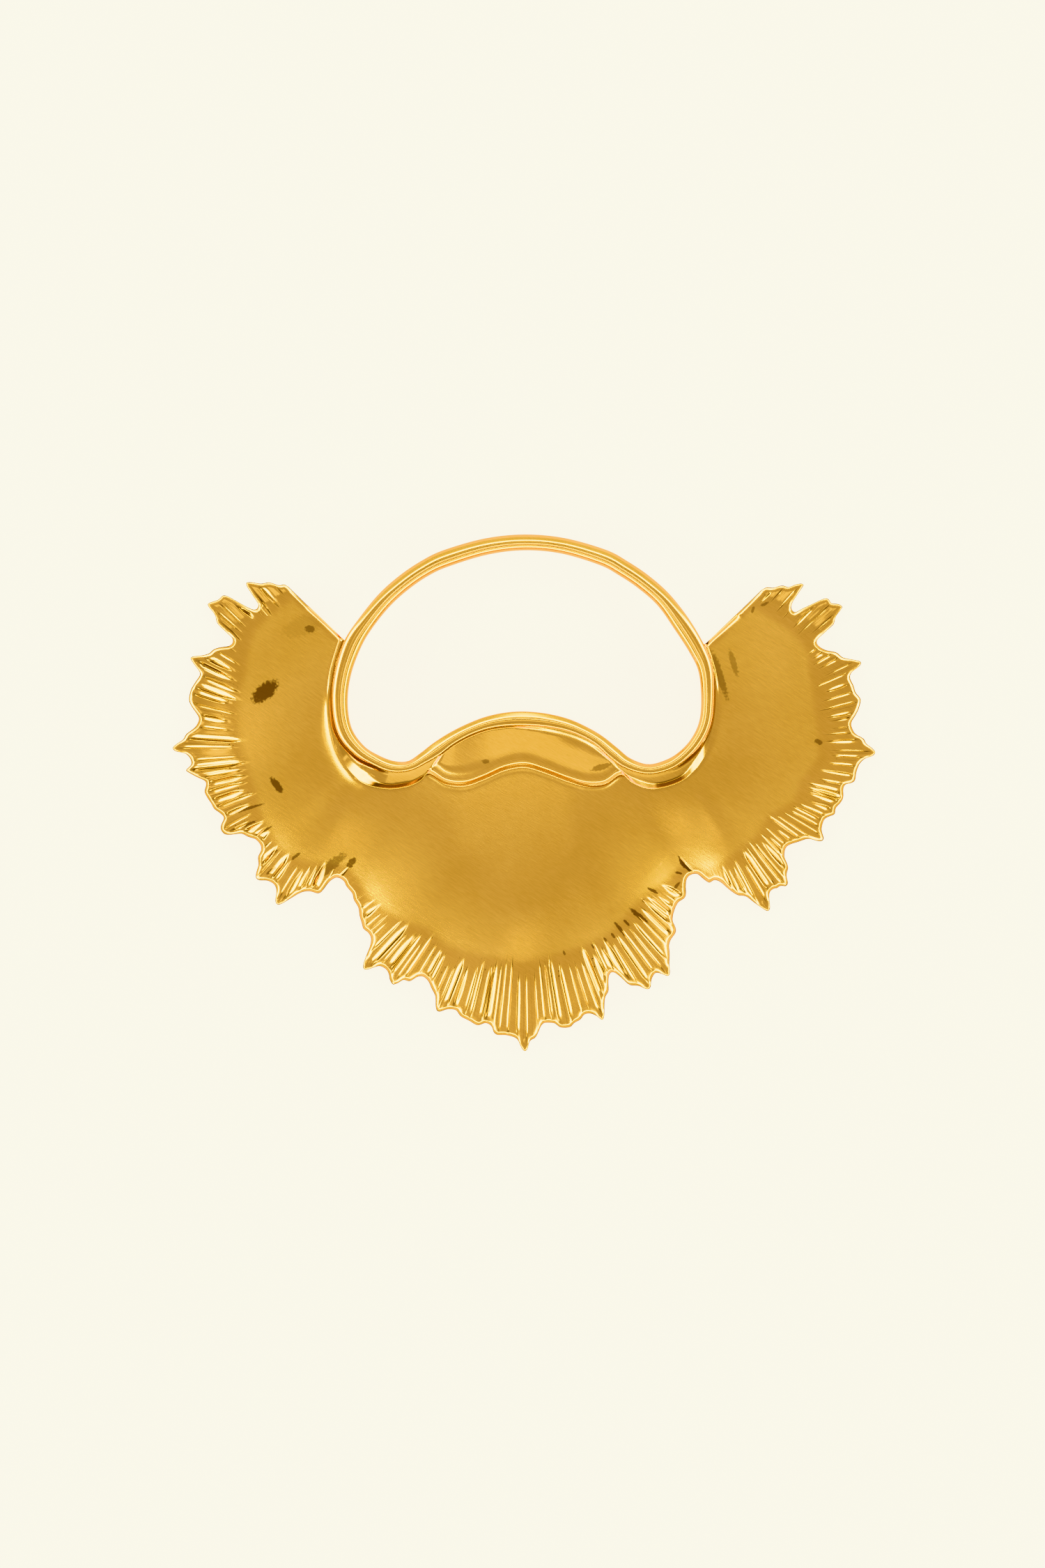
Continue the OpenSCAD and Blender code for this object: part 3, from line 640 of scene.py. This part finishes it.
# How much of each form each place along the seat has: the leaf panel with its right half and its left
# corner, the valley beside the fans, and the collars' walls, their steep parts and their thick start
leaf = between(seat_q, 9.0, 19.0, 0.35)
right_leaf = smoothstep((seat_q - 13) / 3.5)
leaf_corner = 1 - smoothstep((seat_q - 9.6) / 3.2)
side = 1 - between(seat_q, 4.0, 24.1, 1.4)
collar_wall = between(seat_q, 5.3, 8.8, 0.3) + between(seat_q, 21.2, 22.7, 0.3)
steep = between(seat_q, 5.2, 8.9, 0.8) + between(seat_q, 20.9, 22.9, 0.8)
thick_start = between(seat_q, 4.3, 5.5, 0.8)
# The lip along the crease, low and narrow but for its broad rise by the left collar
broad = between(seat_q, 2.6, 5.2, 1.6)
lip_h = mix(mix(0.1, 0.27, between(seat_q, 1.8, 9.0, 1.0)), 0.66, broad)
lip_w = mix(0.45, 1.15, broad)
lip_on = np.maximum(side, between(seat_q, 2.0, 5.0, 0.8))
# The valley's dip beside the frame, and the collar's height, at its thick start too
valley_dip = 0.2
collar_h = 0.7
thick_h = 1.0
# The leaf's ridge: its height, distance from the crease, half width, the power that squares it, and
# how far it is sunk into the panel
ridge_h = 0.62
ridge_at = 0.72
ridge_half = 0.5
ridge_power = 2.6
ridge_drop = 0.12
# The leaf's panel: its height, its rise towards the crease, and the dip in its left corner
panel_h = 0.24
panel_rise = 0.18
corner_dip = 0.38
# The low rise that lies along the leaf's ridge on the plate, and the crease between them
leaf_lip_h = 0.2
crease_dip = 0.32


def band_z(xy, a, g, outer_h):
    """Height of what lies between the frame and the crease, at a millimetres from the frame and g
    from the crease. Beside the fans it is a narrow valley with a lip, at the lower corners a flat
    collar, and below the hump the leaf panel with its rounded ridge."""
    start = outer_h - plate_t
    dip = valley_dip * np.exp(-((a - 0.16) / 0.14) ** 2)
    valley = mix(start - dip, lip_h, smoothstep((a - 0.15) / 0.4))
    collar = mix(start, mix(collar_h, thick_h, thick_start), smoothstep(a / 0.5))
    collar = collar * np.minimum(1, g / mix(mix(1.15, 0.62, steep), 1.7, thick_start))
    collar = collar + lip_h * (lip_on - side) * smoothstep(a / 0.5)
    ridge = ridge_h * np.exp(-(np.abs(g - ridge_at) / ridge_half) ** ridge_power)
    corner = corner_dip * leaf_corner * smoothstep((g - 1.1) / 0.9)
    dish = panel_h + panel_rise * smoothstep((2.4 - g) / 2.0) - corner
    panel = mix(start, dish, smoothstep(a / mix(0.22, 1.1, right_leaf)))
    leaf_z = np.maximum(panel * smoothstep(g / 0.5), ridge - ridge_drop)
    height = mix(mix(collar, valley, side), leaf_z, leaf)
    return hollow_z(xy) + plate_t + height


def lip_z(x):
    """Height of the field beside the crease, at x millimetres from it."""
    side_lip = lip_h * np.exp(-((x / lip_w) ** 2))
    leaf_lip = leaf_lip_h * np.exp(-(((x - 0.42) / 0.35) ** 2)) - crease_dip * np.exp(-((x / 0.2) ** 2))
    return mix(side_lip * lip_on, leaf_lip, leaf)


# Rows between the frame and the crease, by their distance from the frame, then by part of what is
# left, then by their distance from the crease. All are squeezed where the band is narrow
near_frame = (0.07, 0.15, 0.25, 0.4, 0.6, 0.85, 1.15)
near_crease = (2.1, 1.6, 1.25, 1.0, 0.8, 0.6, 0.42, 0.26, 0.12, 0)
full_band = 4.0
band_w = np.linalg.norm(crease - seat_edge, axis=1)
squeeze = np.minimum(1, band_w / full_band)
band_rows = [squeeze * a for a in near_frame]
band_rows += [mix(near_frame[-1] * squeeze, band_w - near_crease[0] * squeeze, p) for p in (0.33, 0.67)]
band_rows += [band_w - squeeze * g for g in near_crease]
outer_h = mix(side_section[-1, 1], hump_section[-1, 1], hump[:coarse_count]) * frame_h
coarse_rows = []
for a in band_rows:
    g = band_w - a
    xy = mix(seat_edge, crease, (a / band_w)[:, None])
    low = hollow_z(xy) + rim_mid * rim_t
    rounded = edge_fall(edge_distance(xy, coarse))
    row = np.column_stack([xy, mix(low, band_z(xy, a, g, outer_h), rounded)])
    # All is bright but the leaf's panel. Painted shade lies in the valley, in the leaf's left half by the
    # frame, and on the collars' walls
    polish = mix(1.0, np.maximum(smoothstep((1.6 - g) / 0.6), 0.5), leaf)
    valley_shade = 0.25 * side * smoothstep((band_w - 0.25 - a) / 0.3)
    leaf_shade = 0.8 * leaf * (1 - right_leaf) * smoothstep((0.34 - a) / 0.15)
    wall_shade = collar_wall * smoothstep((0.85 - g) / 0.2)
    coarse_rows.append((row, polish, np.maximum.reduce([valley_shade, leaf_shade, wall_shade])))

# Rows of the field close to the crease, by their distance from it, and those beyond
beside_crease = (0.1, 0.22, 0.36, 0.52, 0.7, 0.95, 1.3, 1.8)
field_rows = 12
to_zone = zone_end - crease
zone_w = np.linalg.norm(to_zone, axis=1)
for x in beside_crease:
    xy = crease + (x / zone_w)[:, None] * to_zone
    edge = edge_distance(xy, coarse)
    row = np.column_stack([xy, top_z(xy, edge, 0) + lip_z(x) * edge_fall(edge)])
    polish = np.maximum(smoothstep((0.8 - x) / 0.5), edge_polish(edge))
    # Painted shade on the collars' walls, carried a little onto the field beside the crease
    coarse_rows.append((row, polish, 0.7 * collar_wall * smoothstep((0.3 - x) / 0.2)))
for part in np.linspace(0, 1, field_rows + 1)[1:-1]:
    share = mix(beside_crease[-1] / zone_w, 1, part)
    xy = crease + share[:, None] * to_zone
    edge = edge_distance(xy, coarse)
    coarse_rows.append((np.column_stack([xy, top_z(xy, edge, 0)]), edge_polish(edge)))

# Loops of the frame's section, from its inner bottom edge over the top to its outer edge, each with
# the painted shade of its row: dark lines at the inner edge, at the step and on the outer bevel
frame_loops = []
for arch_part, side_part, hump_part in zip(arch_section, side_section, hump_section):
    share, height, dark = [mix(mix(side_part[k], arch_part[k], free), hump_part[k], hump) for k in range(3)]
    frame_loops.append((np.column_stack([across_frame(share), seat_foot + height * frame_h]), 1.0, dark))
outer_foot_part = 0.93
outer_foot = np.column_stack([across_frame(outer_foot_part), seat_foot])

# Rows of the back: a rounded foot under the rim, then the hollow inwards to the frame.
# Each row of the foot: [how far in, part of the rim's thickness]
foot_round = [[0.07, 0.16], [0.22, 0.03], [0.45, 0.0]]
back_parts = np.linspace(1, 0, 12)
foot_rows = []
for inset, part in foot_round:
    xy = rim_xy + inset * inward
    foot_rows.append(np.column_stack([xy, under_z(xy)[0] + part * rim_t]))
back_rows = []
for part in back_parts:
    xy = crease + part * to_zone
    back_rows.append(np.column_stack([xy, under_z(xy)[0]]))

# All points, and faces between neighbouring rows. A row of the fluted zone has coarse_step steps for
# each step of the field. Every point also has its finish: how polished it is, how dark its painted shade
# is, its place across the nearest groove and how fully that is cut, and where and how strongly it is chased
points = []
finish = {"polish": [], "painted_shade": [], "groove": [], "cutting": []}
chases = []


def add_row(row, polish, painted_shade=0.0, groove=far_off, cutting=0.0, chase=0.0):
    """Adds a row's points and returns their numbers."""
    first = sum(len(p) for p in points)
    points.append(row)
    for values, value in zip(finish.values(), (polish, painted_shade, groove, cutting)):
        values.append(np.broadcast_to(value, (len(row),)))
    chases.append(np.broadcast_to(chase, (len(row), 3)))
    return first + np.arange(len(row))


def strip(a, b):
    """Four-sided faces between two rows with as many points."""
    return np.stack([a[:-1], b[:-1], b[1:], a[1:]], axis=1)


def fan_strip(few, many):
    """Three-sided faces between a row and one with coarse_step steps for each of its steps."""
    a, b = few[:-1], few[1:]
    half = coarse_step // 2
    faces = [np.stack([a, many[half:-1:coarse_step], b], axis=1)]
    for k in range(coarse_step):
        start, end = many[k:len(many) - 1:coarse_step], many[k + 1::coarse_step]
        faces.append(np.stack([a if k < half else b, start, end], axis=1))
    return np.concatenate(faces)


# Polish of the foot and of the back
foot_polish = 0.6
back_polish = 0.2
# Painted shade under the free arch: the frame's outer foot is dark there but not where it sits on the plate
shade_under_arch = np.concatenate([np.zeros(coarse_count), np.ones(len(frame_q) - coarse_count)])
loop_ids = [add_row(*loop) for loop in frame_loops]
foot_loop = add_row(outer_foot, 1.0, shade_under_arch)
coarse_ids = [add_row(*row) for row in coarse_rows]
fine_ids = [add_row(*row) for row in fine_rows[::-1]]
# The foot under the rim is painted fully dark, as shade
foot_ids = [add_row(row, foot_polish, 1.0) for row in foot_rows]
back_ids = [add_row(row, back_polish) for row in back_rows]


def around(ids):
    """The numbers of a closed loop, back to its first point."""
    return np.append(ids, ids[0])


def seat(ids):
    """The part of a loop where the frame sits on the plate."""
    return ids[:coarse_count]


def arch(ids):
    """The part of a loop where the frame stands free."""
    return np.append(ids[coarse_count - 1:], ids[0])


def strips(rows):
    """The strips between the rows of a list."""
    return [strip(a, b) for a, b in zip(rows[:-1], rows[1:])]


quads = strips([around(ids) for ids in loop_ids])
quads.append(strip(around(foot_loop), around(loop_ids[0])))
quads.append(strip(arch(loop_ids[-1]), arch(foot_loop)))
top_ids = [seat(loop_ids[-1])] + coarse_ids
quads += strips(top_ids) + strips(fine_ids + foot_ids) + strips(back_ids)
quads.append(strip(back_ids[-1], seat(foot_loop)))
tris = [fan_strip(top_ids[-1], fine_ids[0]), fan_strip(back_ids[0], foot_ids[-1])[:, ::-1]]


def shoulder_wall(end):
    """Faces of a straight shoulder between the ends of the face's rows and those of the back."""
    upper = np.array([r[end] for r in top_ids + fine_ids])
    lower = np.array([r[end] for r in [seat(foot_loop)] + back_ids[::-1] + foot_ids[::-1]])
    share = np.linspace(0, 1, len(upper))
    pick = np.round(share * (len(lower) - 1)).astype(int)
    faces = []
    for j in range(len(upper) - 1):
        faces.append([upper[j], upper[j + 1], lower[pick[j]]])
        for k in range(pick[j], pick[j + 1]):
            faces.append([upper[j + 1], lower[k + 1], lower[k]])
    faces = np.array(faces)
    return faces if end == 0 else faces[:, ::-1]


tris += [shoulder_wall(0), shoulder_wall(-1)]


def mesh_from(name, xyz, quads, tris):
    """A mesh from points in metres, four-sided and three-sided faces, shaded smooth."""
    loops = np.concatenate([quads.ravel(), tris.ravel()])
    sizes = np.concatenate([np.full(len(quads), 4), np.full(len(tris), 3)])
    mesh = bpy.data.meshes.new(name)
    mesh.vertices.add(len(xyz))
    mesh.vertices.foreach_set("co", xyz.astype(np.float32).ravel())
    mesh.loops.add(len(loops))
    mesh.loops.foreach_set("vertex_index", loops.astype(np.int32))
    mesh.polygons.add(len(sizes))
    mesh.polygons.foreach_set("loop_start", np.concatenate([[0], np.cumsum(sizes)[:-1]]).astype(np.int32))
    mesh.polygons.foreach_set("loop_total", sizes.astype(np.int32))
    mesh.polygons.foreach_set("use_smooth", np.ones(len(sizes), bool))
    mesh.update(calc_edges=True)
    mesh.validate()
    return mesh


mm = 0.001
cast_points = np.concatenate(points) * mm
cast_mesh = mesh_from("sun_relief", cast_points, np.concatenate(quads), np.concatenate(tris))
chase_layer = cast_mesh.attributes.new("chase", "FLOAT_VECTOR", "POINT")
chase_layer.data.foreach_set("vector", np.concatenate(chases).astype(np.float32).ravel())
for name, values in finish.items():
    layer = cast_mesh.attributes.new(name, "FLOAT", "POINT")
    layer.data.foreach_set("value", np.concatenate(values).astype(np.float32))

# Dark patches painted into the colour: dark reflections in dents, smears, and the shade on dark heads of
# flutes: [x, y, half length, half width, turn in degrees, strength]
stains_and_dark_reflections = [
    [-40.4, 15.8, 2.3, 1.2, 40, 1.0],
    [-33.4, 25.6, 0.75, 0.55, 0, 0.75],
    [-34.4, 26.1, 3.2, 1.5, 20, 0.12],
    [-38.5, 1.2, 1.4, 0.55, -52, 0.95],
    [-30.5, -11.6, 3.2, 0.8, 38, 0.62],
    [-26.9, -10.9, 0.9, 0.5, 50, 0.9],
    [24.7, -10.8, 0.95, 0.35, -58, 1.0],
    [24.2, -12.5, 0.55, 0.2, -10, 0.9],
    [23.8, -14.6, 0.9, 0.25, 50, 0.8],
    [20.1, -15.2, 0.9, 0.24, -28, 0.95],
    [18.7, -16.8, 0.4, 0.2, -50, 0.9],
    [18.0, -19.2, 1.7, 0.36, -40, 0.95],
    [16.0, -20.2, 0.65, 0.2, -48, 0.9],
    [15.0, -21.2, 1.4, 0.26, -52, 0.9],
    [13.9, -22.2, 0.5, 0.2, -55, 0.8],
    [12.7, -22.8, 0.45, 0.18, -55, 0.8],
    [10.9, -24.0, 0.6, 0.2, -45, 0.8],
    [6.3, -24.9, 0.4, 0.18, -70, 0.7],
    [-43.3, -2.5, 2.7, 0.22, 17, 0.8],
    [-43.1, -4.9, 1.4, 0.2, 22, 0.8],
    [-40.6, -5.9, 1.3, 0.2, 27, 0.8],
    [-39.4, -9.5, 1.1, 0.26, 32, 0.85],
    [-39.4, -12.1, 1.0, 0.24, 35, 0.85],
    [-35.6, -9.9, 0.9, 0.24, 38, 0.8],
    [30.5, 18.4, 3.7, 0.55, -72, 0.6],
    [32.7, 20.2, 2.0, 0.45, -74, 0.45],
    [46.0, 8.0, 0.65, 0.38, -30, 0.75],
    [37.6, 29.5, 0.7, 0.22, 25, 0.6],
    [35.8, 28.6, 0.5, 0.22, 70, 0.6],
    [-5.9, 4.9, 0.55, 0.35, 0, 0.6],
    [12.0, 4.0, 1.5, 0.45, 15, 0.65],
]
# A dark patch's edge: how far its grain moves it, and where it starts and is darkest, in half sizes
patch_grain = 1.1
patch_limits = (1.16, 0.86)
patch_most = 0.92
stain_and_reflection_colour = (0.17, 0.058, 0.012, 1)
# The painted shade along a groove's narrow wall: its middle, and how far from there it ends and is darkest,
# in half widths
groove_shade_middle = 0.66
groove_shade_limits = (0.48, 0.26)
groove_shade_most = 0.95
# The colour of all painted shade and painted dark reflection
painted_shade_colour = (0.13, 0.042, 0.006, 1)
# Height of the scratches and of the chased lines, in metres
bump_height = 0.00004


def gilt_brass(name, gold, satin, polished, scratch, stains_and_dark_reflections):
    """Gilded brass: satin and scratched where the polish attribute is 0, bright where it is 1."""
    material = bpy.data.materials.new(name)
    material.use_nodes = True
    nodes, links = material.node_tree.nodes, material.node_tree.links
    shader = nodes["Principled BSDF"]
    shader.inputs["Metallic"].default_value = 1.0
    place = nodes.new("ShaderNodeTexCoord").outputs["Object"]

    def feed(node, inputs):
        """Links each input to the output of another node, or gives it a constant."""
        for key, value in inputs.items():
            if isinstance(value, bpy.types.NodeSocket):
                links.new(value, node.inputs[key])
            else:
                node.inputs[key].default_value = value

    def attribute(layer, output="Fac"):
        node = nodes.new("ShaderNodeAttribute")
        node.attribute_name = layer
        return node.outputs[output]

    def calculated(operation, *values):
        node = nodes.new("ShaderNodeMath")
        node.operation = operation
        feed(node, dict(enumerate(values)))
        return node.outputs[0]

    def ranged(value, limits, results):
        """A value taken from between two limits to between two results, and held there."""
        node = nodes.new("ShaderNodeMapRange")
        feed(node, {"Value": value, "From Min": limits[0], "From Max": limits[1]})
        feed(node, {"To Min": results[0], "To Max": results[1]})
        return node.outputs["Result"]

    def mixed(kind, a, b, factor):
        node = nodes.new("ShaderNodeMix")
        node.data_type = kind
        feed(node, {"A": a, "B": b, "Factor": factor})
        return node.outputs["Result"]

    def measured(vector, scale, turn=0, centre=(0, 0, 0)):
        """A place measured from a centre, along turned axes, in units of three lengths."""
        node = nodes.new("ShaderNodeMapping")
        node.vector_type = "TEXTURE"
        rotation = (0, 0, math.radians(turn))
        feed(node, {"Vector": vector, "Location": centre, "Rotation": rotation, "Scale": scale})
        return node.outputs["Vector"]

    def noise(vector, detail):
        node = nodes.new("ShaderNodeTexNoise")
        feed(node, {"Vector": vector, "Scale": 1.0, "Detail": detail})
        return node.outputs["Fac"]

    def bumped(height, strength):
        node = nodes.new("ShaderNodeBump")
        feed(node, {"Distance": bump_height, "Strength": strength, "Height": height})
        return node

    # Brush strokes, with the first length along them, and two even grains, in metres
    strokes = noise(measured(place, (0.0016, 0.00012, 0.001), -33), 3)
    cloud = noise(measured(place, (0.014, 0.014, 0.014)), 3)
    grain = noise(measured(place, (0.0004, 0.0004, 0.0004)), 2)
    polish = attribute("polish")

    # Dark patches with grainy edges, the darkest of them at each place: painted dark reflections and
    # shade, and smears
    edge = calculated("MULTIPLY_ADD", grain, patch_grain, -patch_grain / 2)
    darkest_patch = 0.0
    for x, y, long, wide, turn, strength in stains_and_dark_reflections:
        size = (long * mm, wide * mm, 1)
        far = nodes.new("ShaderNodeVectorMath")
        far.operation = "LENGTH"
        feed(far, {0: measured(place, size, turn, (x * mm, y * mm, 0))})
        grainy = calculated("ADD", far.outputs["Value"], edge)
        amount = ranged(grainy, patch_limits, (0, patch_most * strength))
        darkest_patch = calculated("MAXIMUM", darkest_patch, amount)

    # Gold with uneven tones, then painted shade on the grooves' narrow walls, edges, recesses and underside,
    # then the dark patches
    dull = (gold[0] * 0.84, gold[1] * 0.8, gold[2] * 0.68, 1)
    tone = mixed("RGBA", gold, dull, ranged(mixed("FLOAT", cloud, strokes, 0.55), (0.33, 0.67), (0, 1)))
    # Painted shade: a dark line along each groove, as far as it is cut
    from_wall = calculated("ABSOLUTE", calculated("SUBTRACT", attribute("groove"), groove_shade_middle))
    line = ranged(from_wall, groove_shade_limits, (0, groove_shade_most))
    groove_shade_line = calculated("MULTIPLY", line, attribute("cutting"))
    darkest = calculated("MAXIMUM", groove_shade_line, attribute("painted_shade"))
    shaded_tone = mixed("RGBA", tone, painted_shade_colour, darkest)
    patched = mixed("RGBA", shaded_tone, stain_and_reflection_colour, darkest_patch)

    # Scratches, and the fine uneven lines that the chasing tool left along the flutes
    scratched = bumped(strokes, ranged(polish, (0, 1), (scratch, scratch * 0.12)))
    chase = attribute("chase", "Vector")
    in_flutes = nodes.new("ShaderNodeSeparateXYZ")
    feed(in_flutes, {"Vector": chase})
    chased = bumped(noise(measured(chase, (0.5, 6.0, 3.0)), 2.0), in_flutes.outputs["Z"])
    feed(chased, {"Normal": scratched.outputs["Normal"]})

    roughness = ranged(polish, (0, 1), (satin, polished))
    feed(shader, {"Base Color": patched, "Roughness": roughness, "Normal": chased.outputs["Normal"]})
    return material


gold = (1.0, 0.545, 0.125, 1)
cast_mesh.materials.append(gilt_brass("gilt_brass", gold, 0.24, 0.12, 0.35, stains_and_dark_reflections))
sun_relief = bpy.data.objects.new("sun_relief", cast_mesh)
bpy.context.scene.collection.objects.link(sun_relief)
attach(sun_relief, "root")
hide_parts("sun_casting")

# The pin. A plain brass finding soldered behind the plate; only its own finish is added to it.
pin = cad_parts["pin_finding"]
pin.data.materials.clear()
pin.data.materials.append(gilt_brass("pin_brass", (0.95, 0.6, 0.18, 1), 0.28, 0.2, 0.3, []))

# The table: a plain pale surface.
floor_half = 3.0
floor_mesh = bpy.data.meshes.new("table")
corners = [(x * floor_half, y * floor_half, 0) for x, y in ((-1, -1), (1, -1), (1, 1), (-1, 1))]
floor_mesh.from_pydata(corners, [], [(0, 1, 2, 3)])
floor_material = bpy.data.materials.new("cream")
floor_material.use_nodes = True
cream = floor_material.node_tree.nodes["Principled BSDF"]
cream.inputs["Base Color"].default_value = (0.06, 0.055, 0.05, 1)
cream.inputs["Emission Color"].default_value = (1.0, 0.955, 0.84, 1)
cream.inputs["Emission Strength"].default_value = 1.6
cream.inputs["Roughness"].default_value = 0.9
cream.inputs["Specular IOR Level"].default_value = 0.0
floor_mesh.materials.append(floor_material)
table = bpy.data.objects.new("table", floor_mesh)
bpy.context.scene.collection.objects.link(table)

# The light: a pale soft room with a bright band that runs all round it low above the table, and
# soft panels that face the brooch.
world = bpy.data.worlds.new("room")
bpy.context.scene.world = world
world.use_nodes = True
room_nodes, room_links = world.node_tree.nodes, world.node_tree.links
room = room_nodes["Background"]
direction = room_nodes.new("ShaderNodeTexCoord")
height = room_nodes.new("ShaderNodeSeparateXYZ")
room_links.new(direction.outputs["Generated"], height.inputs["Vector"])
shade = room_nodes.new("ShaderNodeValToRGB")
room_links.new(height.outputs["Z"], shade.inputs["Fac"])
room_links.new(shade.outputs["Color"], room.inputs["Color"])
stops = shade.color_ramp.elements
while len(stops) > 1:
    stops.remove(stops[-1])
# [angle from straight above, red, green and blue]
ramp = [
    (90, 0.82, 0.88, 0.8), (76, 0.9, 0.96, 0.86), (72, 5.5, 7.5, 6.5), (69, 12, 17, 14), (62, 12, 17, 14),
    (59, 1.4, 1.5, 1.2), (53, 0.72, 0.71, 0.69), (38, 0.67, 0.66, 0.64), (28, 0.62, 0.61, 0.59),
    (0, 0.61, 0.60, 0.59),
]
for k, (from_zenith, red, green, blue) in enumerate(ramp):
    position = math.cos(math.radians(from_zenith))
    stop = stops[0] if k == 0 else stops.new(position)
    stop.position = position
    stop.color = (red, green, blue, 1)
room.inputs["Strength"].default_value = 1.0

panel_distance = 1.6
panel_colour = (0.84, 1.0, 0.84)


def panel(name, azimuth, from_zenith, width, height, radiance):
    """A soft panel that faces the brooch, at a compass angle and an angle from straight above."""
    data = bpy.data.lights.new(name, "AREA")
    data.shape = "RECTANGLE"
    data.size, data.size_y = width, height
    data.energy = radiance * width * height * math.pi
    data.color = panel_colour
    light = bpy.data.objects.new(name, data)
    a, z = math.radians(azimuth), math.radians(from_zenith)
    toward = Vector((math.cos(a) * math.sin(z), math.sin(a) * math.sin(z), math.cos(z)))
    light.location = toward * panel_distance
    light.rotation_euler = toward.to_track_quat("Z", "Y").to_euler()
    bpy.context.scene.collection.objects.link(light)


panel("left_glow", 174, 40, 0.5, 0.2, 1.0)
panel("bottom_glow", -90, 29, 0.4, 0.14, 1.0)
panel("ceiling_glow", 95, 9, 0.5, 0.24, 0.8)

bpy.context.scene.view_settings.view_transform = "Khronos PBR Neutral"
bpy.context.scene.view_settings.exposure = 0.0
